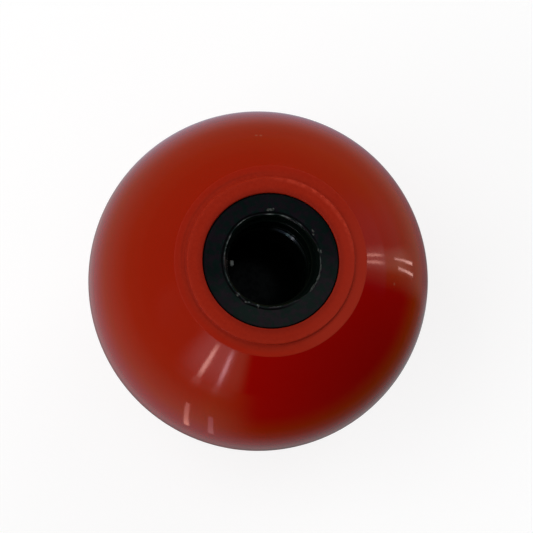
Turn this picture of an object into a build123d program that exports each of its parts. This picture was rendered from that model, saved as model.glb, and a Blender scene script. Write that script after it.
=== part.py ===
from build123d import *
import os

# Push-on ball knob: a moulded ball with a flat stepped hub face, and a blind bush held inside it.
# The ball's centre is the origin. The bore runs along Z and its mouth points up. All sizes are in millimetres.

# Ball and hub face
ball_diameter = 50.0
hub_cut_depth = 4.0
hub_edge_radius = 0.3
boss_diameter = 23.8
boss_rise = 0.35
boss_edge_chamfer = 0.1

# Bush, with a wide foot that keeps it in the ball
bush_diameter = 19.3
bush_recess = 0.25
bush_rim_chamfer = 0.2
foot_step = 0.8
foot_height = 3.0
seat_clearance = 0.02

# Blind bore for a plain round lever, which is gripped by rings inside it
lever_diameter = 12.0
grip_depth = 0.45
bore_depth = 23.0
bore_floor_chamfer = 1.0
ring_count = 5
ring_pitch = 4.5
first_ring_depth = 2.5
ring_land = 0.9
ring_lead_in = 0.6
lip_bead_rise = 0.2
lip_bead_width = 0.5

# Heights above the ball's centre
ball_radius = ball_diameter / 2
band_z = ball_radius - hub_cut_depth
boss_z = band_z + boss_rise
bush_face_z = boss_z - bush_recess
bore_floor_z = bush_face_z - bore_depth
bush_foot_z = bore_floor_z - foot_height

# Radii about the bore's axis
band_radius = (ball_radius**2 - band_z**2) ** 0.5
boss_radius = boss_diameter / 2
bush_radius = bush_diameter / 2
lever_radius = lever_diameter / 2
bore_radius = lever_radius + grip_depth


def turned(points):
    """Solid swept by a closed outline of (radius, height) points about the bore's axis."""
    with BuildPart() as solid:
        with BuildSketch(Plane.XZ):
            with BuildLine():
                Polyline(*points, close=True)
            make_face()
        revolve(axis=Axis.Z)
    return solid.part


def circles_at(part, radius, height):
    """Edges of a part that are circles of one radius at one height."""
    return [
        edge
        for edge in part.edges().filter_by(GeomType.CIRCLE)
        if abs(edge.radius - radius) < 1e-4 and abs(edge.arc_center.Z - height) < 1e-4
    ]


def ball_blank():
    """Ball cut flat at the hub, with an eased edge and the raised boss on the flat."""
    with BuildPart() as blank:
        with BuildSketch(Plane.XZ):
            with BuildLine():
                skin = ThreePointArc((0, -ball_radius), (ball_radius, 0), (band_radius, band_z))
                band = Line(skin @ 1, (boss_radius, band_z))
                side = Line(band @ 1, (boss_radius, boss_z))
                top = Line(side @ 1, (0, boss_z))
                Line(top @ 1, skin @ 0)
            make_face()
        revolve(axis=Axis.Z)
        fillet(circles_at(blank.part, band_radius, band_z), hub_edge_radius)
        chamfer(circles_at(blank.part, boss_radius, boss_z), boss_edge_chamfer)
    return blank.part


def bush_space(clearance, top_z):
    """Space of the bush from its foot up to one height, grown sideways by a clearance."""
    radius = bush_radius + clearance
    foot_radius = radius + foot_step
    return turned(
        [
            (0, bush_foot_z),
            (foot_radius, bush_foot_z),
            (foot_radius, bore_floor_z),
            (radius, bore_floor_z),
            (radius, top_z),
            (0, top_z),
        ]
    )


def lever_bore():
    """Blind bore with gripping rings, each with a lead-in towards the mouth and a square back."""
    points = [(0, bush_face_z), (bore_radius, bush_face_z)]
    for i in range(ring_count):
        land_z = bush_face_z - first_ring_depth - i * ring_pitch
        points += [
            (bore_radius, land_z + ring_lead_in),
            (lever_radius, land_z),
            (lever_radius, land_z - ring_land),
            (bore_radius, land_z - ring_land),
        ]
    points += [
        (bore_radius, bore_floor_z + bore_floor_chamfer),
        (bore_radius - bore_floor_chamfer, bore_floor_z),
        (0, bore_floor_z),
    ]
    return turned(points)


def lip_bead():
    """Sharp bead that stands on the bush's face round the bore."""
    return turned(
        [
            (bore_radius, bush_face_z),
            (bore_radius + lip_bead_width, bush_face_z),
            (bore_radius + lip_bead_width / 2, bush_face_z + lip_bead_rise),
        ]
    )


def knob_body():
    """The ball, less the space of the bush, which is open through the boss."""
    return ball_blank() - bush_space(seat_clearance, boss_z)


def bore_bush():
    """The bush: footed outside with a broken rim, ringed blind bore, bead at the mouth."""
    blank = bush_space(0, bush_face_z)
    blank = chamfer(circles_at(blank, bush_radius, bush_face_z), bush_rim_chamfer)
    return blank - lever_bore() + lip_bead()


nodes = {"knob_body": knob_body, "bore_bush": bore_bush}

os.makedirs("parts", exist_ok=True)
for name, build in nodes.items():
    export_step(build(), f"parts/{name}.step")
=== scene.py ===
import math
from collections import namedtuple

import bmesh
import bpy
from mathutils import Matrix, Vector, noise


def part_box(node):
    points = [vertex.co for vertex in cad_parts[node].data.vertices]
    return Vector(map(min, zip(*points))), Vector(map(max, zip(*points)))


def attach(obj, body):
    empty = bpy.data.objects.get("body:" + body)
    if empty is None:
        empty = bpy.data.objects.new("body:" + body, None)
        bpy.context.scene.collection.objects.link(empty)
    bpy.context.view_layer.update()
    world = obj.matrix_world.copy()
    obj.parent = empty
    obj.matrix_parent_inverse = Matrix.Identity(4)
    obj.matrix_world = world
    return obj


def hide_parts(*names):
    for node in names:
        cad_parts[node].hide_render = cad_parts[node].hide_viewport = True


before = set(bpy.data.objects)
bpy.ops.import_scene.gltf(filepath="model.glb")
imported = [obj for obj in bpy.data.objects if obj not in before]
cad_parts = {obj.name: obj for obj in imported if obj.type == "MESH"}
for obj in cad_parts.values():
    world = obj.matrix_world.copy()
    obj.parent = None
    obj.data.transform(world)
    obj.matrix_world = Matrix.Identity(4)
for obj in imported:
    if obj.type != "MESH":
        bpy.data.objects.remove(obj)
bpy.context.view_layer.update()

# Sizes in millimetres, about the ball's centre, with the bore along Z and its mouth up
MM = 0.001
ball_box = [[v / MM for v in corner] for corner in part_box("knob_body")]
bush_box = [[v / MM for v in corner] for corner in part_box("bore_bush")]

# Ball and hub
BALL_RADIUS = -ball_box[0][2]
BOSS_Z = ball_box[1][2]
BOSS_RISE = 0.35
BAND_Z = BOSS_Z - BOSS_RISE
HUB_EDGE = 0.3
BOSS_RADIUS = 11.9
BOSS_EDGE = 0.12
BOSS_FOOT = 0.18

# Bush, its wide foot and its seat in the ball
BUSH_RADIUS = 9.65
BUSH_RIM = 0.2
BUSH_RECESS = 0.25
BUSH_FACE_Z = BOSS_Z - BUSH_RECESS
FOOT_STEP = 0.8
FOOT_HEIGHT = 3.0
BUSH_FOOT_Z = bush_box[0][2]
BUSH_FLOOR_Z = BUSH_FOOT_Z + FOOT_HEIGHT
SEAT_CLEARANCE = 0.02
SEAT_RADIUS = BUSH_RADIUS + SEAT_CLEARANCE
SEAT_EDGE = 0.2

# Bore and its rings, of which one is rubbed down to a sloped ledge
BORE_RADIUS = 6.45
BORE_START = 0.5
FLOOR_CHAMFER = 1.0
RING_RADIUS = 6.0
RING_COUNT = 5
RING_PITCH = 4.5
FIRST_RING_DEPTH = 2.5
RING_LAND = 0.9
RING_TOP = 0.15
RING_EASE = 0.08
RING_BREAK = 0.05
WALL_BREAK = 0.04
RUBBED_RING = 2
RUBBED_TOP = 1.1
RUBBED_LEAN = 29.6

# Lip: a bead of moulding flash round the bore's mouth, with a fine groove outside it
LIP_RADIUS = 6.56
LIP_WIDTH = 0.2
LIP_MARGIN = 0.01
LIP_RISE = bush_box[1][2] - BUSH_FACE_Z - LIP_MARGIN
CREST_OUTWARDS = 0.03
CREST_INWARDS = 0.02
LIP_UNDERCUT = 0.05
UNDERCUT_DEPTH = 0.06
UNDERCUT_BLEND = 0.01
GROOVE_DEPTH = 0.06
GROOVE_FLOOR = (0.05, 0.24)
GROOVE_END = 0.32

SEGMENTS = 360
SHARP_ANGLE = math.radians(40)

# The photograph's view: distance and lens, the tilt of the bore's axis and how far the image is turned
CAMERA_DISTANCE = 450.0
AXIS_TILT = math.radians(9.29)
IMAGE_TURN = math.radians(32.0)
IMAGE_SIDE = 533
FOCAL_PIXELS = 3052.0
BALL_CENTRE_PIXEL = (258.1, 281.1)
SENSOR_WIDTH = 36.0


def arc(centre_r, centre_z, radius, start, end, steps):
    """Points of an arc in the plane of radius and height, between two angles in degrees."""
    points = []
    for i in range(steps + 1):
        angle = math.radians(start + (end - start) * i / steps)
        points.append((centre_r + radius * math.cos(angle), centre_z + radius * math.sin(angle)))
    return points


def run(start, end, steps):
    """Points of a straight run in the plane of radius and height."""
    return [tuple(a + (b - a) * i / steps for a, b in zip(start, end)) for i in range(steps + 1)]


def linked(name, data):
    """An object for a mesh, a lamp or a camera, in the scene."""
    piece = bpy.data.objects.new(name, data)
    bpy.context.scene.collection.objects.link(piece)
    return piece


def smooth_piece(name, bm):
    """An object for a mesh in the making, shaded smooth."""
    for face in bm.faces:
        face.smooth = True
    mesh = bpy.data.meshes.new(name)
    bm.to_mesh(mesh)
    bm.free()
    return linked(name, mesh)


def ring_of_points(bm, r, z, shape):
    """The points of one turned ring, or a single point on the axis."""
    row = []
    for i in range(SEGMENTS if r > 0 else 1):
        turn = 2 * math.pi * i / SEGMENTS
        moved_r, moved_z = shape(r, z, turn) if r > 0 else (r, z)
        place = Vector((moved_r * math.cos(turn), moved_r * math.sin(turn), moved_z))
        row.append(bm.verts.new(place * MM))
    return row


def skin_between(bm, low, high, material):
    """Faces between two neighbouring rings."""
    for i in range(SEGMENTS):
        j = (i + 1) % SEGMENTS
        if len(low) == 1:
            corners = (low[0], high[j], high[i])
        elif len(high) == 1:
            corners = (low[i], low[j], high[0])
        else:
            corners = (low[i], low[j], high[j], high[i])
        bm.faces.new(corners).material_index = material


def turned(name, outlines, shape):
    """Closed solid turned from outlines that run on from each other, each with its own material."""
    bm = bmesh.new()
    last = None
    row = None
    for material, outline in enumerate(outlines):
        for r, z in outline:
            if last and abs(r - last[0]) + abs(z - last[1]) < 1e-6:
                continue
            last = (r, z)
            below = row
            row = ring_of_points(bm, r, z, shape)
            if below:
                skin_between(bm, below, row, material)
    bmesh.ops.recalc_face_normals(bm, faces=bm.faces)
    piece = smooth_piece(name, bm)
    piece.data.set_sharp_from_angle(angle=SHARP_ANGLE)
    return piece


def around(turn, scale, seed):
    """Smooth noise that closes on itself round the axis, about -1 to 1."""
    return noise.noise(Vector((math.cos(turn) * scale, math.sin(turn) * scale, seed))) * 1.6


def hump(gap, width):
    """Smooth hump: 1 at no gap, 0 at the width and beyond."""
    t = min(abs(gap) / width, 1.0)
    return (1 - t * t) ** 2


def turn_gap(turn, degrees):
    """How far, in degrees, a turn lies from a given one."""
    return abs((math.degrees(turn) - degrees + 180) % 360 - 180)


# The boss's worn edge: its reach inwards and down, its mean wear, and how far it sinks as a share of that
EDGE_REACH = (0.25, 0.2)
EDGE_WEAR = 0.02
EDGE_SINK = 0.8

# Dents in that edge: where round the axis and half width, in degrees, and depth
BOSS_NICKS = (
    (118.0, 10.0, 0.05),
    (100.0, 2.5, 0.08),
    (93.0, 4.0, 0.06),
    (85.0, 2.0, 0.09),
    (-31.5, 2.2, 0.10),
    (-27.0, 1.2, 0.06),
)


def ball_wear(r, z, turn):
    """The boss's edge is uneven and nicked; the rest stays true."""
    edge = hump(r - BOSS_RADIUS, EDGE_REACH[0]) * hump(z - BOSS_Z, EDGE_REACH[1])
    if edge == 0:
        return r, z
    dent = EDGE_WEAR + EDGE_WEAR * around(turn, 7.0, 1.5)
    for place, width, depth in BOSS_NICKS:
        dent += depth * hump(turn_gap(turn, place), width)
    return r - dent * edge, z - EDGE_SINK * dent * edge


EDGE_CENTRE_Z = BAND_Z - HUB_EDGE
EDGE_CENTRE_R = math.sqrt((BALL_RADIUS - HUB_EDGE) ** 2 - EDGE_CENTRE_Z**2)
DOME_END = math.degrees(math.atan2(EDGE_CENTRE_Z, EDGE_CENTRE_R))


def dome_outline():
    """Outline of the glossy dome, up to the hub's rounded edge."""
    return [(0, -BALL_RADIUS)] + arc(0, 0, BALL_RADIUS, -89, DOME_END, 110)


def hub_outline():
    """Outline of the satin hub: edge, band and boss, then the bush's seat and its wide foot."""
    foot_r = SEAT_RADIUS + FOOT_STEP
    points = arc(EDGE_CENTRE_R, EDGE_CENTRE_Z, HUB_EDGE, DOME_END, 90, 6)
    points += run((EDGE_CENTRE_R, BAND_Z), (BOSS_RADIUS + BOSS_FOOT, BAND_Z), 8)
    points += arc(BOSS_RADIUS + BOSS_FOOT, BAND_Z + BOSS_FOOT, BOSS_FOOT, -90, -180, 4)
    points += arc(BOSS_RADIUS - BOSS_EDGE, BOSS_Z - BOSS_EDGE, BOSS_EDGE, 0, 90, 6)
    points += run((BOSS_RADIUS - BOSS_EDGE, BOSS_Z), (SEAT_RADIUS + SEAT_EDGE, BOSS_Z), 12)
    points += arc(SEAT_RADIUS + SEAT_EDGE, BOSS_Z - SEAT_EDGE, SEAT_EDGE, 90, 180, 5)
    points += run((SEAT_RADIUS, BOSS_Z - SEAT_EDGE), (SEAT_RADIUS, BUSH_FLOOR_Z), 10)
    points += [(foot_r, BUSH_FLOOR_Z), (foot_r, BUSH_FOOT_Z), (0, BUSH_FOOT_Z)]
    return points


# Where the lip's flash stands up: where and half width, in degrees, and share of its full rise
LIP_FLASH = (
    (104.0, 12.0, 0.95),
    (123.0, 9.0, 0.9),
    (84.0, 12.0, 0.55),
    (158.0, 20.0, 0.6),
    (186.0, 16.0, 0.65),
    (205.0, 22.0, 0.6),
    (235.0, 18.0, 0.45),
    (13.0, 24.0, 1.0),
    (32.0, 9.0, 0.8),
    (44.0, 4.0, 1.0),
    (-52.0, 14.0, 0.5),
    (-28.0, 10.0, 0.3),
    (-74.0, 3.0, 1.0),
    (-102.0, 3.5, 0.9),
    (-86.0, 3.0, 0.7),
)

# Where the lip wanders outwards: where and half width, in degrees, and how far
LIP_WANDER = (
    (30.0, 40.0, 0.42),
    (-2.0, 32.0, 0.36),
    (158.0, 32.0, 0.24),
    (-88.0, 10.0, 0.12),
)

# Its small waver in and out all round: how far, and the noise's scale and seed
LIP_WAVER = (
    (0.02, 9.0, 2.7),
    (0.015, 37.0, 6.3),
)

# What moves with the lip: down to a depth under the face, and fading over radii inside and outside it
WANDER_DEPTH = 0.1
WANDER_FADE = 0.05
WANDER_END = 7.7

# The least share of its full rise, the mean and swing of its torn flash, and where it fills the groove
LIP_LOW = 0.10
FLASH_TORN = (0.8, 0.3)
GROOVE_FILLED = (8.0, 75.0)


def lip_level(turn):
    """How high the lip stands at a turn, as a share of its full rise."""
    level = LIP_LOW + LIP_LOW * max(0.0, around(turn, 17.0, 9.1))
    torn = FLASH_TORN[0] + FLASH_TORN[1] * around(turn, 40.0, 3.3)
    for place, width, share_up in LIP_FLASH:
        level = max(level, share_up * torn * hump(turn_gap(turn, place), width))
    return min(level, 1.0)


def lip_wear(r, z, turn):
    """The lip is a ragged ridge of flash that wanders round the mouth, high in places and low in others."""
    if z < BUSH_FACE_Z - WANDER_DEPTH or r > WANDER_END or r < BORE_RADIUS:
        return r, z
    if r < LIP_RADIUS:
        share = min(1.0, (r - BORE_RADIUS) / WANDER_FADE)
    else:
        share = (WANDER_END - r) / (WANDER_END - LIP_RADIUS)
    shift = 0.0
    for out, scale, seed in LIP_WAVER:
        shift += out * around(turn, scale, seed)
    for place, width, out in LIP_WANDER:
        shift += out * hump(turn_gap(turn, place), width)
    if z < BUSH_FACE_Z:
        middle, width = GROOVE_FILLED
        filled = hump(turn_gap(turn, middle), width) if r > LIP_RADIUS else 0.0
        return r + shift * share, z + (BUSH_FACE_Z - z) * filled
    return r + shift * share, BUSH_FACE_Z + (z - BUSH_FACE_Z) * lip_level(turn)


def ring_outline(land_z, top, lean):
    """One gripping ring: a ledge that may lean inwards, its eased shoulder, the land and a square back."""
    tilt = math.radians(lean)
    ledge = BORE_RADIUS - RING_RADIUS - RING_EASE * (1 - math.sin(tilt))
    top_z = land_z + top
    ledge_z = top_z - math.tan(tilt) * ledge
    shoulder_z = ledge_z - RING_EASE * math.cos(tilt)
    back_z = land_z - RING_LAND
    points = run((BORE_RADIUS, top_z), (BORE_RADIUS - ledge, ledge_z), 3)
    points += arc(RING_RADIUS + RING_EASE, shoulder_z, RING_EASE, 90 + lean, 180, 6)
    points += run((RING_RADIUS, shoulder_z), (RING_RADIUS, back_z + RING_BREAK), 2)
    points += [(RING_RADIUS + RING_BREAK, back_z)]
    points += [(BORE_RADIUS - WALL_BREAK, back_z), (BORE_RADIUS, back_z - WALL_BREAK)]
    return points


def bush_outline():
    """Outline of the bush's outside: foot, side, broken rim, face and the lip up to its crest."""
    foot_r = BUSH_RADIUS + FOOT_STEP
    face_edge = BUSH_RADIUS - BUSH_RIM
    lip_foot = LIP_RADIUS + LIP_WIDTH
    groove_z = BUSH_FACE_Z - GROOVE_DEPTH
    groove_in, groove_out = GROOVE_FLOOR
    crest = (LIP_RADIUS + CREST_OUTWARDS, BUSH_FACE_Z + LIP_RISE)
    points = [(0, BUSH_FOOT_Z), (foot_r, BUSH_FOOT_Z), (foot_r, BUSH_FLOOR_Z), (BUSH_RADIUS, BUSH_FLOOR_Z)]
    points += run((BUSH_RADIUS, BUSH_FLOOR_Z + 1), (BUSH_RADIUS, BUSH_FACE_Z - BUSH_RIM), 8)
    points += arc(face_edge, BUSH_FACE_Z - BUSH_RIM, BUSH_RIM, 0, 90, 6)
    points += run((face_edge, BUSH_FACE_Z), (lip_foot + GROOVE_END, BUSH_FACE_Z), 14)
    points += run((lip_foot + groove_out, groove_z), (lip_foot + groove_in, groove_z), 2)
    points += run((lip_foot, BUSH_FACE_Z), crest, 4)
    return points


def bore_outline():
    """Outline of the blind bore, from the lip's crest down past the rings to the floor."""
    crest = (LIP_RADIUS - CREST_INWARDS, BUSH_FACE_Z + LIP_RISE)
    undercut_z = BUSH_FACE_Z - UNDERCUT_DEPTH
    points = run(crest, (LIP_RADIUS - LIP_UNDERCUT, undercut_z), 4)
    points += [(BORE_RADIUS + UNDERCUT_BLEND, undercut_z - 2 * UNDERCUT_BLEND)]
    points += [(BORE_RADIUS, undercut_z - 3 * UNDERCUT_BLEND), (BORE_RADIUS, BUSH_FACE_Z - BORE_START)]
    for i in range(RING_COUNT):
        land_z = BUSH_FACE_Z - FIRST_RING_DEPTH - i * RING_PITCH
        if i == RUBBED_RING:
            points += ring_outline(land_z, RUBBED_TOP, RUBBED_LEAN)
        else:
            points += ring_outline(land_z, RING_TOP, 0.0)
    floor_edge = BORE_RADIUS - FLOOR_CHAMFER
    points += [(BORE_RADIUS, BUSH_FLOOR_Z + FLOOR_CHAMFER), (floor_edge, BUSH_FLOOR_Z)]
    points += run((floor_edge - 0.1, BUSH_FLOOR_Z), (0, BUSH_FLOOR_Z), 5)
    return points


# Loose scraps of flash at the lip: turn in degrees, radius, length round the axis and width
FLASH_SCRAPS = (
    (122.8, 7.22, 0.85, 0.34),
    (119.0, 7.30, 0.30, 0.30),
    (67.5, 7.34, 0.50, 0.20),
    (64.0, 7.12, 0.30, 0.20),
    (42.7, 7.20, 0.45, 0.24),
    (24.0, 7.10, 1.00, 0.20),
    (12.0, 7.10, 1.50, 0.25),
    (-1.0, 6.99, 1.30, 0.27),
    (-73.5, 6.86, 0.20, 0.42),
    (-102.0, 6.88, 0.42, 0.20),
    (-89.0, 6.90, 0.36, 0.20),
)
SCRAP_LIFT = 0.02
SCRAP_RISE = 0.09
SCRAP_SQUARE = 0.7
SCRAP_CRUMPLE = 0.55

# The flake that hangs in the bore, likewise, and its depth under the first ring's land
BORE_TAG = (212.3, 5.60, 0.72, 1.0)
TAG_DROP = 0.25
TAG_RISE = 0.16
TAG_SQUARE = 0.35
TAG_SEED = 40.0


def scrap(bm, outline, base_z, rise, seed, square):
    """A crumpled closed flake, boxier the lower its square, centred at a height."""
    turn, radius, length, width = outline
    angle = math.radians(turn)
    outward = Vector((math.cos(angle), math.sin(angle), 0))
    along = Vector((-outward.y, outward.x, 0))
    for vert in bmesh.ops.create_icosphere(bm, subdivisions=3, radius=1.0)["verts"]:
        p = vert.co.copy()
        crumple = 1 + SCRAP_CRUMPLE * noise.noise(p * 2.3 + Vector((seed, 0, 0)))
        p = Vector([math.copysign(abs(v) ** square, v) for v in p]) * crumple
        place = outward * (radius + p.x * width / 2) + along * p.y * length / 2
        place.z = base_z + p.z * rise
        vert.co = place * MM


def flash_scraps():
    """All the loose scraps of flash, as one piece of separate closed flakes."""
    bm = bmesh.new()
    for i, outline in enumerate(FLASH_SCRAPS):
        scrap(bm, outline, BUSH_FACE_Z + SCRAP_LIFT, SCRAP_RISE, 3.1 * i, SCRAP_SQUARE)
    tag_z = BUSH_FACE_Z - FIRST_RING_DEPTH - TAG_DROP
    scrap(bm, BORE_TAG, tag_z, TAG_RISE, TAG_SEED, TAG_SQUARE)
    return smooth_piece("lip_flash", bm)


# Nodes

def new_net(owner):
    """An empty node tree of a material or the world, with its output node."""
    owner.use_nodes = True
    tree = owner.node_tree
    tree.nodes.clear()
    kind = "ShaderNodeOutputWorld" if isinstance(owner, bpy.types.World) else "ShaderNodeOutputMaterial"
    return tree, tree.nodes.new(kind)


def new_material(name):
    """A material with its empty node tree and output node."""
    mat = bpy.data.materials.new(name)
    return mat, *new_net(mat)


def put(tree, kind, settings=None, **sockets):
    """A node with its settings, and its sockets, by name or as _number, set to values or linked."""
    node = tree.nodes.new("ShaderNode" + kind)
    for key, value in (settings or {}).items():
        setattr(node, key, value)
    for key, value in sockets.items():
        socket = node.inputs[int(key[1:])] if key[0] == "_" else node.inputs[key.replace("_", " ")]
        if isinstance(value, bpy.types.NodeSocket):
            tree.links.new(value, socket)
        else:
            socket.default_value = value
    return node


def maths(tree, kind, *values):
    """The output of a math node."""
    sockets = {f"_{i}": value for i, value in enumerate(values)}
    return put(tree, "Math", {"operation": kind}, **sockets).outputs[0]


def product(tree, *values):
    """All the values multiplied."""
    total = values[0]
    for value in values[1:]:
        total = maths(tree, "MULTIPLY", total, value)
    return total


def ramp(tree, value, low, high, to_low=0.0, to_high=1.0):
    """A value carried smoothly from one range to another, and held beyond it."""
    return put(
        tree, "MapRange", {"interpolation_type": "SMOOTHSTEP"},
        Value=value, From_Min=low, From_Max=high, To_Min=to_low, To_Max=to_high,
    ).outputs[0]


def band(tree, value, start, full, still_full, end):
    """Smooth band: 0 up to the start, 1 while full and 0 again from the end."""
    return product(tree, ramp(tree, value, start, full), ramp(tree, value, still_full, end, 1.0, 0.0))


def mixed(tree, factor, a, b):
    """Two colours mixed."""
    return put(tree, "Mix", {"data_type": "RGBA"}, _0=factor, _6=a, _7=b).outputs[2]


def blended(tree, factor, a, b):
    """Two numbers mixed."""
    return put(tree, "Mix", {"data_type": "FLOAT"}, _0=factor, _2=a, _3=b).outputs[0]


def either(tree, factor, a, b):
    """Two shaders mixed."""
    return put(tree, "MixShader", _0=factor, _1=a, _2=b).outputs[0]


def added(tree, a, b):
    """Two shaders added."""
    return put(tree, "AddShader", _0=a, _1=b).outputs[0]


def grain(tree, place, scale, detail=3.0, roughness=0.55):
    """Noise in space, 0 to 1."""
    noise_node = put(tree, "TexNoise", Vector=place, Scale=scale, Detail=detail, Roughness=roughness)
    return noise_node.outputs["Fac"]


def bumps(tree, strength, depth, height):
    """A surface normal with bumps of a depth in millimetres."""
    return put(tree, "Bump", Strength=strength, Distance=depth * MM, Height=height).outputs[0]


def distance(tree, place, spot):
    """How far a place lies from a spot."""
    return put(tree, "VectorMath", {"operation": "DISTANCE"}, _0=place, _1=spot).outputs["Value"]


Where = namedtuple("Where", "place radius height turn")


def where_on(tree):
    """Object coordinates in millimetres, and the radius, height and turn about the bore's axis."""
    coords = put(tree, "TexCoord").outputs["Object"]
    place = put(tree, "VectorMath", {"operation": "SCALE"}, Vector=coords, Scale=1 / MM).outputs[0]
    x, y, z = put(tree, "SeparateXYZ", Vector=place).outputs
    flat = put(tree, "CombineXYZ", X=x, Y=y, Z=0.0).outputs[0]
    radius = put(tree, "VectorMath", {"operation": "LENGTH"}, Vector=flat).outputs["Value"]
    return Where(place, radius, z, maths(tree, "ARCTAN2", y, x))


def cosine_from(tree, turn, degrees):
    """Cosine of how far a turn lies from a given one."""
    return maths(tree, "COSINE", maths(tree, "SUBTRACT", turn, math.radians(degrees)))


def facing(tree, turn, degrees, near, far):
    """1 within a number of degrees of a turn, falling to 0 at a larger number."""
    low, high = (math.cos(math.radians(gap)) for gap in (far, near))
    return ramp(tree, cosine_from(tree, turn, degrees), low, high)


# Materials

PLASTIC_IOR = 1.5

# Reds of the ball: its two clouded reds, flecks and dust, and where specks of dust are stuck on it
BALL_REDS = ((0.322, 0.0010, 0.0002, 1), (0.352, 0.0024, 0.0008, 1))
FLECK_RED = (0.39, 0.010, 0.006, 1)
DUSTY_RED = (0.36, 0.055, 0.035, 1)
BALL_SPECKS = ((-10.71, 15.39, 16.53), (-11.26, 15.08, 16.45), (16.66, 7.24, 17.18))
SPECK_REACH = (0.10, 0.30)

# Reds of the hub, from its two mottled reds to the boss's rubbed edge with its painted highlight, with
# painted shade on one side, by the bush, at the edge and at the step, a painted sheen, and its dull gloss
HUB_REDS = ((0.353, 0.0140, 0.0026, 1), (0.393, 0.0186, 0.0044, 1))
SHADED_SIDE_RED = (0.24, 0.0120, 0.0040, 1)
OUTER_RED = (0.400, 0.0122, 0.0010, 1)
SHEEN_RED = (0.372, 0.0215, 0.0078, 1)
SHADE_BY_BUSH_RED = (0.10, 0.004, 0.002, 1)
MARK_RED = (0.12, 0.002, 0.001, 1)
SHADED_EDGE_RED = (0.275, 0.0030, 0.0005, 1)
STEP_SHADE_RED = (0.12, 0.0, 0.0, 1)
RUBBED_HIGHLIGHT_RED = (0.55, 0.045, 0.020, 1)
HUB_SPECULAR = 0.18

# Where these lie round the hub, in degrees: towards where, within how many it is full, and where it ends
SHADED_SIDE_TURN = (322.0, 20.0, 65.0)
OUTER_TURN = (210.0, 85.0, 130.0)
SHEEN_TURN = (14.0, 22.0, 62.0)
MARK_TURN = (175.0, 30.0, 60.0)
CAUGHT_TURNS = ((127.0, 25.0, 50.0), (20.0, 20.0, 45.0))
STEP_SHADE_TURN = (268.0, 50.0, 95.0)
HIGHLIGHT_TURN = (80.0, 16.0, 46.0)

# And at which radii they start and are full, and where they stop being full and end
OUTER_RADII = (12.55, 13.25)
SHEEN_RADII = (10.0, 12.9)
MARK_RADII = (12.38, 12.52, 12.66, 12.82)
STEP_RADII = (11.80, 11.93, 12.12, 12.50)

# Blacks of the bush's face: dark and light in two hues each, flecks, painted shade for its groove and rim,
# and where it is lighter
DARK_BLACKS = ((0.0003, 0.0062, 0.0044, 1), (0.0066, 0.0034, 0.0060, 1))
LIGHT_BLACKS = ((0.0062, 0.0136, 0.0098, 1), (0.0152, 0.0108, 0.0128, 1))
FLECK_BLACK = (0.020, 0.025, 0.026, 1)
SHADE_BLACK = (0.0004, 0.0005, 0.0005, 1)
LIGHT_TURN = (318.0, 15.0, 110.0)

# Blacks of the bore, and the dust on its floor: colour, place and reach
BORE_BLACKS = ((0.0007, 0.0028, 0.0017, 1), (0.0017, 0.0038, 0.0028, 1))
BORE_DUST = (0.052, 0.060, 0.056, 1)
DUST_PLACE = (-0.6, -0.8, BUSH_FLOOR_Z)
DUST_REACH = (1.8, 4.5)

# Where moulding flash is torn and has turned pale: the lip, the flakes' two tones, the tag and its root
TORN = (0.110, 0.124, 0.120, 1)
FLAKE_TONES = ((0.010, 0.013, 0.0125, 1), (0.070, 0.080, 0.077, 1))
TAG_TONE = (0.15, 0.165, 0.16, 1)
ROOT_TONE = (0.001, 0.001, 0.001, 1)
TAG_RADII = (6.2, 6.4)
ROOT_RADII = (5.46, 5.58)

# The bluish sheen of the black plastic
BLACK_SHEEN = (0.33, 0.40, 0.62, 1)
BORE_SHEEN = (0.78, 0.86, 1.0, 1)


def plastic(tree, out, colour, roughness, normal):
    """The plastic's shader, on the material's output."""
    shader = put(
        tree, "BsdfPrincipled", Base_Color=colour, Roughness=roughness, IOR=PLASTIC_IOR, Normal=normal,
    )
    tree.links.new(shader.outputs[0], out.inputs[0])
    return shader


def red_plastic():
    """Glossy moulded red plastic of the dome, faintly clouded and smudged, with a few specks of dust."""
    mat, tree, out = new_material("red_plastic")
    at = where_on(tree)
    colour = mixed(tree, grain(tree, at.place, 0.09, 2.0), *BALL_REDS)
    fleck = ramp(tree, grain(tree, at.place, 3.0, 2.0), 0.64, 0.8, 0.0, 0.25)
    colour = mixed(tree, fleck, colour, FLECK_RED)
    for speck in BALL_SPECKS:
        dusty = ramp(tree, distance(tree, at.place, speck), *SPECK_REACH, 0.8, 0.0)
        colour = mixed(tree, dusty, colour, DUSTY_RED)
    smudge = ramp(tree, grain(tree, at.place, 0.16, 4.0, 0.65), 0.35, 0.75, 0.06, 0.10)
    plastic(tree, out, colour, smudge, bumps(tree, 0.10, 0.02, grain(tree, at.place, 1.6, 2.0)))
    return mat


def on_boss(tree, at):
    """1 on the boss and 0 on the band round it."""
    return ramp(tree, at.height, BAND_Z + 0.15, BAND_Z + 0.3)


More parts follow.
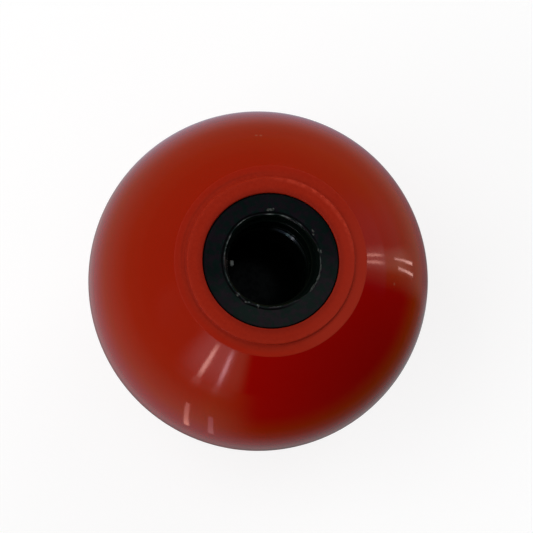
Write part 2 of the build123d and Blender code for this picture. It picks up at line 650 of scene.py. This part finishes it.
def hub_red(tree, at):
    """Mottled red of the hub, with painted shade on one side and by the bush, a painted sheen on another
    side, and a turned mark.
    """
    mottle = ramp(tree, grain(tree, at.place, 2.2, 4.0, 0.65), 0.3, 0.7)
    face = mixed(tree, mottle, *HUB_REDS)
    # Painted shade: the face darker on the side where less light falls
    dark = product(tree, facing(tree, at.turn, *SHADED_SIDE_TURN), 0.28)
    face = mixed(tree, dark, face, SHADED_SIDE_RED)
    outer = product(tree, ramp(tree, at.radius, *OUTER_RADII), facing(tree, at.turn, *OUTER_TURN), 0.7)
    face = mixed(tree, outer, face, OUTER_RED)
    # Painted sheen: whiter towards the outer edge on one side
    sheen_share = ramp(tree, at.radius, *SHEEN_RADII, 0.4, 1.0)
    face = mixed(tree, product(tree, sheen_share, facing(tree, at.turn, *SHEEN_TURN)), face, SHEEN_RED)
    # Painted shade: the boss darker next to the bush, where the gap shades it
    shade_by_bush = ramp(tree, at.radius, BUSH_RADIUS + 0.1, BUSH_RADIUS + 1.1, 0.30, 0.0)
    face = mixed(tree, product(tree, shade_by_bush, on_boss(tree, at)), face, SHADE_BY_BUSH_RED)
    mark = product(tree, band(tree, at.radius, *MARK_RADII), facing(tree, at.turn, *MARK_TURN), 0.16)
    return mixed(tree, mark, face, MARK_RED)


def hub_edges(tree, at, face):
    """The hub's outer edge with painted shade where it catches no light, the painted shade at the boss's
    step, and the boss's worn edge with a painted highlight.
    """
    caught = maths(tree, "MAXIMUM", *(facing(tree, at.turn, *turn) for turn in CAUGHT_TURNS))
    # Painted shade: the outer edge darker and less pale, except at the turns where it catches light
    edge_shade = maths(tree, "MULTIPLY_ADD", caught, -0.7, 0.8)
    outer_edge = ramp(tree, at.height, BAND_Z - 0.01, BAND_Z - 0.08)
    face = mixed(tree, product(tree, outer_edge, edge_shade), face, SHADED_EDGE_RED)
    # Painted shade at the foot of the boss's step, deepest on one side
    shaded = maths(tree, "MULTIPLY_ADD", facing(tree, at.turn, *STEP_SHADE_TURN), 0.13, 0.04)
    step = product(tree, band(tree, at.radius, *STEP_RADII), ramp(tree, at.height, BOSS_Z, BOSS_Z - 0.10))
    face = mixed(tree, product(tree, step, shaded), face, STEP_SHADE_RED)
    # The boss's worn edge, lighter: partly wear, partly a painted highlight strongest where the edge faces
    # the light
    on_edge = product(tree, ramp(tree, at.radius, BOSS_RADIUS - 0.75, BOSS_RADIUS - 0.2), on_boss(tree, at))
    wear_and_highlight = maths(tree, "ADD", facing(tree, at.turn, *HIGHLIGHT_TURN), 0.10)
    rubbed = ramp(tree, grain(tree, at.place, 1.5, 4.0), 0.36, 0.62, 0.2, 0.85)
    return mixed(tree, product(tree, on_edge, wear_and_highlight, rubbed), face, RUBBED_HIGHLIGHT_RED)


def red_hub_plastic():
    """Satin moulded red plastic of the hub face."""
    mat, tree, out = new_material("red_hub_plastic")
    at = where_on(tree)
    colour = hub_edges(tree, at, hub_red(tree, at))
    satin = ramp(tree, grain(tree, at.place, 1.3, 3.0), 0.3, 0.7, 0.36, 0.46)
    tooth = bumps(tree, 0.5, 0.015, grain(tree, at.place, 7.0, 3.0))
    shader = plastic(tree, out, colour, satin, tooth)
    shader.inputs["Specular IOR Level"].default_value = HUB_SPECULAR
    return mat


def torn_share(tree, at):
    """How pale the lip is: more towards its crest."""
    crest = ramp(tree, at.height, BUSH_FACE_Z + 0.01, BUSH_FACE_Z + 0.10)
    return product(tree, crest, ramp(tree, grain(tree, at.place, 1.1, 5.0), 0.40, 0.60, 0.45, 1.0))


def black_face(tree, at, fleck):
    """Black of the bush's face, a little bluer in places, with pale flecks, and painted shade at its rim and
    in its groove.
    """
    cloud = ramp(tree, grain(tree, at.place, 0.5, 4.0, 0.6), 0.35, 0.65)
    hue = ramp(tree, grain(tree, at.place, 1.4, 3.0), 0.42, 0.58)
    lighter = maths(tree, "ADD", facing(tree, at.turn, *LIGHT_TURN), product(tree, cloud, 0.30))
    dark = mixed(tree, hue, *DARK_BLACKS)
    light = mixed(tree, hue, *LIGHT_BLACKS)
    face = mixed(tree, ramp(tree, lighter, 0.0, 1.3), dark, light)
    face = mixed(tree, fleck, face, FLECK_BLACK)
    # Painted shade in the groove and along the rim, by the gap to the hub
    low = ramp(tree, at.height, BUSH_FACE_Z - 0.05, BUSH_FACE_Z - 0.01, 1.0, 0.0)
    rim = ramp(tree, at.radius, BUSH_RADIUS - 0.26, BUSH_RADIUS - 0.12)
    return mixed(tree, maths(tree, "MAXIMUM", low, rim), face, SHADE_BLACK)


def black_plastic():
    """Fine matt black of the bush's face, and its lip torn pale."""
    mat, tree, out = new_material("black_plastic")
    at = where_on(tree)
    fleck = ramp(tree, grain(tree, at.place, 5.0, 3.0), 0.64, 0.74, 0.0, 0.6)
    colour = mixed(tree, torn_share(tree, at), black_face(tree, at, fleck), TORN)
    rough = ramp(tree, fleck, 0.0, 0.6, 0.62, 0.5)
    tooth = bumps(tree, 0.6, 0.015, grain(tree, at.place, 7.0, 4.0))
    shader = plastic(tree, out, colour, rough, tooth)
    shader.inputs["Specular Tint"].default_value = BLACK_SHEEN
    return mat


def bore_plastic():
    """Smooth glossy black of the bore, a little dusty on its floor, and the lip's inner side torn pale."""
    mat, tree, out = new_material("bore_plastic")
    at = where_on(tree)
    deep = mixed(tree, grain(tree, at.place, 0.3), *BORE_BLACKS)
    near_dust = ramp(tree, distance(tree, at.place, DUST_PLACE), *DUST_REACH, 1.0, 0.0)
    dust = product(tree, near_dust, ramp(tree, grain(tree, at.place, 1.2), 0.3, 0.6, 0.4, 1.0))
    deep = mixed(tree, dust, deep, BORE_DUST)
    crest = ramp(tree, at.height, BUSH_FACE_Z + 0.05, BUSH_FACE_Z + 0.12)
    colour = mixed(tree, product(tree, torn_share(tree, at), crest), deep, TORN)
    rough = ramp(tree, grain(tree, at.place, 0.8), 0.3, 0.7, 0.13, 0.17)
    ripple = bumps(tree, 0.2, 0.01, grain(tree, at.place, 1.5, 2.0))
    shader = plastic(tree, out, colour, rough, ripple)
    shader.inputs["Specular Tint"].default_value = BORE_SHEEN
    return mat


def torn_plastic():
    """Pale torn flash, dark where the flake in the bore hangs from its ring."""
    mat, tree, out = new_material("torn_plastic")
    at = where_on(tree)
    crumbs = ramp(tree, grain(tree, at.place, 4.5, 4.0), 0.38, 0.62)
    in_bore = ramp(tree, at.radius, *TAG_RADII, 1.0, 0.0)
    pale = mixed(tree, in_bore, mixed(tree, crumbs, *FLAKE_TONES), TAG_TONE)
    root = product(tree, ramp(tree, at.radius, *ROOT_RADII), in_bore)
    colour = mixed(tree, root, pale, ROOT_TONE)
    plastic(tree, out, colour, 0.55, bumps(tree, 0.5, 0.02, grain(tree, at.place, 6.0)))
    return mat


# Pieces

def finished(piece, slot, materials, *nodes):
    """A piece rides with the knob, takes its finish, and may take nodes' places; its slot is not used."""
    for material in materials:
        piece.data.materials.append(material)
    if nodes:
        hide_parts(*nodes)
    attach(piece, "root")


ball = turned("moulded_ball", [dome_outline(), hub_outline()], ball_wear)
finished(ball, "knob_plastic", [red_plastic(), red_hub_plastic()], "knob_body")
bush = turned("moulded_bush", [bush_outline(), bore_outline()], lip_wear)
finished(bush, "bush_plastic", [black_plastic(), bore_plastic()], "bore_bush")
finished(flash_scraps(), "bush_plastic", [torn_plastic()])


# Studio

WHITE = (1, 1, 1)

# Soft lamps: azimuth and elevation in degrees, and the level each gives a surface that faces it
LAMPS = {
    "lamp_side": (90, 18, 0.37),
    "lamp_high": (195, 55, 0.25),
    "lamp_low": (240, 25, 0.29),
}
LAMP_DISTANCE = 1000.0
LAMP_SIZE = 730.0
AMBIENT = 0.30

# What the gloss shows of the room, as light from far away. Each has the azimuths and elevations at which
# it starts, is full, stops being full and ends, and its colour times its strength.
SEEN_IN_GLOSS = {
    "tube_near_left": ((-91.6, -90.7, -89.3, -88.4), (-6, 12, 21, 35), (8.2, 4.5, 4.0)),
    "tube_near_right": ((-80.6, -79.7, -78.5, -77.6), (-6, 16, 22, 35), (6.0, 3.5, 4.0)),
    "tube_far_left": ((43.1, 43.7, 44.2, 44.8), (-2, 8, 34, 38), (5.4, 2.7, 2.2)),
    "tube_far_right": ((39.4, 40.1, 40.7, 41.4), (-2, 8, 34, 38), (5.0, 2.5, 2.1)),
    "tube_high_left": ((-103.0, -101.8, -98.8, -97.6), (36, 38, 46, 49), (6.2, 5.8, 5.6)),
    "tube_high_right": ((-93.2, -92.0, -89.6, -88.4), (36, 38, 46, 49), (2.0, 2.8, 2.6)),
    "veil_near": ((-108, -93, -79, -74), (-14, 20, 32, 40), (0.70, 0.66, 0.70)),
    "veil_near_side": ((-79, -75, -73.5, -64.5), (-14, 16, 32, 40), (0.25, 0.25, 0.22)),
    "veil_high": ((-116, -100, -84, -66), (34, 38, 48, 56), (0.07, 0.11, 0.21)),
    "veil_far": ((34.5, 41, 43.5, 50.5), (-30, -5, 60, 70), (0.58, 0.48, 0.42)),
    "veil_far_side": ((22, 42, 52, 84), (-30, 5, 40, 55), (0.09, 0.06, 0.16)),
}

# The room round them: its colour low and high, the elevations between these, and how it darkens upwards
ROOM = (0.26, 0.225, 0.055, 1)
ROOM_ABOVE = (0.13, 0.14, 0.13, 1)
ROOM_CHANGES = (33, 42)
ROOM_DARKENS = (46, 60, 1.0, 0.12)

# The unlit side of the room and of the table: azimuths as above
DARK_SIDE = (-71, -63, 27, 37)
DARK_TABLE = (-84, -54, 27, 37)

# The floor: half its side, its colour in diffuse light, and its shaded share and own light to the eye
TABLE_Z = -BALL_RADIUS
TABLE_HALF = 4000.0
TABLE_CLOTH = (0.75, 0.75, 0.75, 1)
TABLE_SHADED = (0.30, 0.30, 0.30, 1)
TABLE_LIGHT = 0.79

# The pale table as the gloss shows it, by distance from the ball's foot, dark near the foot as a painted
# contact shadow
TABLE_REACH = 200.0
TABLE_STOPS = (
    (21, (0.02, 0.015, 0.01)),
    (33, (0.43, 0.41, 0.43)),
    (45, (0.40, 0.37, 0.375)),
    (53, (0.39, 0.36, 0.295)),
    (63, (0.38, 0.35, 0.215)),
    (79, (0.36, 0.33, 0.19)),
    (104, (0.34, 0.31, 0.135)),
    (154, (0.30, 0.26, 0.095)),
    (195, (0.28, 0.24, 0.065)),
)

# The same on its unlit side
UNLIT_STOPS = (
    (21, (0.02, 0.015, 0.01)),
    (33, (0.26, 0.30, 0.31)),
    (41, (0.19, 0.235, 0.24)),
    (52, (0.09, 0.115, 0.07)),
    (66, (0.03, 0.080, 0.003)),
    (92, (0.01, 0.03, 0.0)),
    (120, (0.0, 0.0, 0.0)),
)

# The table's brighter side: towards where, half the difference, and over which distances it fades outwards
TABLE_SWAY = (
    (250, 0.16, (100, 180)),
    (195, 0.31, (42, 62)),
)

# Glows on the table, in the gloss only: azimuths as above, the distances at which each starts and is full,
# and its colour times strength. One starts far out and is full near the ball.
TABLE_GLOWS = (
    ((35, 40, 43, 48.5), (62, 150), (0.46, 0.40, 0.30)),
    ((38, 46, 56, 76), (80, 190), (0.0, 0.0, 0.085)),
    ((55, 110, 145, 178), (84, 52), (0.07, 0.10, 0.17)),
    ((-106, -92, -78, -66), (120, 500), (0.17, 0.16, 0.16)),
    ((-86, -77, -69, -58), (60, 95), (0.0, 0.05, 0.0)),
    ((-93, -91, -89, -87), (150, 600), (0.80, 0.42, 0.40)),
    ((-82, -80, -79, -77), (150, 600), (0.60, 0.32, 0.36)),
)

# The lamps' mirror images in the table: start, end, width at each, colour times strength
TABLE_MIRRORS = {
    "mirror_near_left": ((3.4, -89.0), (4.5, -43.0), (3.0, 1.7), (2.2, 1.15, 0.95)),
    "mirror_near_right": ((18.2, -77.0), (12.4, -43.4), (2.8, 1.8), (0.95, 0.62, 0.62)),
    "mirror_far_left": ((181, 165), (60.4, 52.5), (3.4, 1.5), (4.4, 2.8, 2.4)),
    "mirror_far_right": ((148.5, 118.5), (63.8, 48.0), (3.0, 1.5), (4.4, 2.8, 2.4)),
}
MIRROR_Z = TABLE_Z + 0.1


def direction(azimuth, elevation):
    """Unit vector at an azimuth from +X and an elevation, both in degrees."""
    a, e = math.radians(azimuth), math.radians(elevation)
    return Vector((math.cos(a) * math.cos(e), math.sin(a) * math.cos(e), math.sin(e)))


def soft_lamp(name, azimuth, elevation, level):
    """A large soft lamp that lights the object and stays out of its reflections."""
    data = bpy.data.lights.new(name, "AREA")
    data.shape = "DISK"
    data.size = LAMP_SIZE * MM
    data.energy = level * (math.pi * LAMP_DISTANCE * MM) ** 2
    lamp = linked(name, data)
    lamp.location = direction(azimuth, elevation) * LAMP_DISTANCE * MM
    lamp.rotation_mode = "QUATERNION"
    lamp.rotation_quaternion = lamp.location.to_track_quat("Z", "Y")
    lamp.visible_glossy = False


def shine(tree, kind, colour, strength):
    """Light of one colour: a Background in the world or an Emission on a surface."""
    return put(tree, kind, Color=(*colour, 1), Strength=strength).outputs[0]


def straight_rays(tree, rays):
    """1 for what the camera sees, directly or through something clear."""
    return maths(tree, "MAXIMUM", rays["Is Camera Ray"], rays["Is Transmission Ray"])


def room_in_gloss(tree):
    """The room as the gloss shows it: dim, dark on one side, with lamp tubes and the veils round them."""
    x, y, z = put(tree, "SeparateXYZ", Vector=put(tree, "TexCoord").outputs["Generated"]).outputs
    azimuth = maths(tree, "DEGREES", maths(tree, "ARCTAN2", y, x))
    elevation = maths(tree, "DEGREES", maths(tree, "ARCSINE", z))
    lit = maths(tree, "SUBTRACT", 1.0, band(tree, azimuth, *DARK_SIDE))
    level = product(tree, lit, ramp(tree, elevation, *ROOM_DARKENS))
    tone = mixed(tree, ramp(tree, elevation, *ROOM_CHANGES), ROOM, ROOM_ABOVE)
    room = put(tree, "Background", Color=tone, Strength=level).outputs[0]
    for azimuths, elevations, colour in SEEN_IN_GLOSS.values():
        share = product(tree, band(tree, azimuth, *azimuths), band(tree, elevation, *elevations))
        room = added(tree, room, shine(tree, "Background", colour, share))
    return room


def world_light():
    """Soft even light, white behind the object, and the room as the gloss shows it."""
    world = bpy.data.worlds.new("studio")
    bpy.context.scene.world = world
    tree, out = new_net(world)
    rays = put(tree, "LightPath").outputs
    even = shine(tree, "Background", WHITE, AMBIENT)
    white = shine(tree, "Background", WHITE, 1.0)
    unseen = either(tree, rays["Is Glossy Ray"], even, room_in_gloss(tree))
    tree.links.new(either(tree, straight_rays(tree, rays), unseen, white), out.inputs[0])
    world.cycles.sampling_method = "NONE"


def stops(tree, value, reach, colours):
    """A colour by a value from 0 to a reach, through given stops."""
    node = put(tree, "ValToRGB", Fac=maths(tree, "DIVIDE", value, reach))
    marks = node.color_ramp.elements
    marks.remove(marks[1])
    marks[0].position = colours[0][0] / reach
    marks[0].color = (*colours[0][1], 1)
    for at, colour in colours[1:]:
        marks.new(at / reach).color = (*colour, 1)
    return node.outputs[0]


def table_in_gloss(tree, at):
    """The table as the gloss shows it: a dim pale pool, dark near the ball's foot as a painted shadow, with
    the lamps' glows, and its unlit side.
    """
    azimuth = maths(tree, "DEGREES", at.turn)
    unlit = band(tree, azimuth, *DARK_TABLE)
    level = 1.0
    for towards, depth, distances in TABLE_SWAY:
        sway = cosine_from(tree, at.turn, towards)
        swayed = maths(tree, "MULTIPLY_ADD", sway, depth, 1.0 - depth)
        level = blended(tree, ramp(tree, at.radius, *distances), swayed, level)
    lit_side = stops(tree, at.radius, TABLE_REACH, TABLE_STOPS)
    unlit_side = stops(tree, at.radius, TABLE_REACH, UNLIT_STOPS)
    shown = mixed(tree, unlit, lit_side, unlit_side)
    pool = put(tree, "Emission", Color=shown, Strength=blended(tree, unlit, level, 1.0)).outputs[0]
    for azimuths, distances, colour in TABLE_GLOWS:
        share = product(tree, band(tree, azimuth, *azimuths), ramp(tree, at.radius, *distances))
        pool = added(tree, pool, shine(tree, "Emission", colour, share))
    return pool


def table_top():
    """Pale floor: white to the eye with the object's soft shadow, and a dimmer pale pool in the gloss."""
    mat, tree, out = new_material("pale_table")
    rays = put(tree, "LightPath").outputs
    cloth = put(tree, "BsdfDiffuse", Color=TABLE_CLOTH).outputs[0]
    shaded = put(tree, "BsdfDiffuse", Color=TABLE_SHADED).outputs[0]
    to_eye = added(tree, shaded, shine(tree, "Emission", WHITE, TABLE_LIGHT))
    base = either(tree, straight_rays(tree, rays), cloth, to_eye)
    pool = table_in_gloss(tree, where_on(tree))
    tree.links.new(either(tree, rays["Is Glossy Ray"], base, pool), out.inputs[0])
    return mat


def sheet(name, corners, material):
    """A flat sheet with four corners, given in millimetres."""
    mesh = bpy.data.meshes.new(name)
    mesh.from_pydata([corner * MM for corner in corners], [], [(0, 1, 2, 3)])
    mesh.materials.append(material)
    return linked(name, mesh)


def table():
    """The flat floor under the ball."""
    signs = ((-1, -1), (1, -1), (1, 1), (-1, 1))
    corners = [Vector((x * TABLE_HALF, y * TABLE_HALF, TABLE_Z)) for x, y in signs]
    piece = sheet("table", corners, table_top())


def table_mirror(name, start, end, widths, colour):
    """A lamp's mirror image in the table, as a lit strip that only the gloss shows."""
    along = Vector((end[0] - start[0], end[1] - start[1], 0)).normalized()
    side = Vector((-along.y, along.x, 0))
    first, last = (Vector((*spot, MIRROR_Z)) for spot in (start, end))
    first_half, last_half = (side * width / 2 for width in widths)
    mat, tree, out = new_material(name)
    tree.links.new(shine(tree, "Emission", colour, 1.0), out.inputs[0])
    corners = (first - first_half, last - last_half, last + last_half, first + first_half)
    piece = sheet(name, corners, mat)
    for ray in ("camera", "diffuse", "transmission", "shadow"):
        setattr(piece, f"visible_{ray}", False)


def camera():
    """The photograph's view, from over the hub a little to one side, turned as the photograph is."""
    toward = Vector((0, -math.sin(AXIS_TILT), math.cos(AXIS_TILT)))
    across = Vector((1, 0, 0))
    upward = Vector((0, math.cos(AXIS_TILT), math.sin(AXIS_TILT)))
    right = across * math.cos(IMAGE_TURN) + upward * math.sin(IMAGE_TURN)
    up = upward * math.cos(IMAGE_TURN) - across * math.sin(IMAGE_TURN)
    middle = IMAGE_SIDE / 2
    scale = CAMERA_DISTANCE / FOCAL_PIXELS
    aim = (right * (middle - BALL_CENTRE_PIXEL[0]) + up * (BALL_CENTRE_PIXEL[1] - middle)) * scale
    place = toward * CAMERA_DISTANCE
    back = (place - aim).normalized()
    right = (right - back * right.dot(back)).normalized()
    up = back.cross(right)
    data = bpy.data.cameras.new("camera")
    data.sensor_width = SENSOR_WIDTH
    data.lens = FOCAL_PIXELS / IMAGE_SIDE * SENSOR_WIDTH
    data.clip_start = 0.01
    data.clip_end = 20.0
    eye = linked("camera", data)
    eye.matrix_world = Matrix.Translation(place * MM) @ Matrix((right, up, back)).transposed().to_4x4()
    bpy.context.scene.camera = eye


for lamp_name, lamp_values in LAMPS.items():
    soft_lamp(lamp_name, *lamp_values)
for mirror_name, mirror_values in TABLE_MIRRORS.items():
    table_mirror(mirror_name, *mirror_values)
world_light()
table()
camera()
bpy.context.scene.view_settings.view_transform = "Standard"
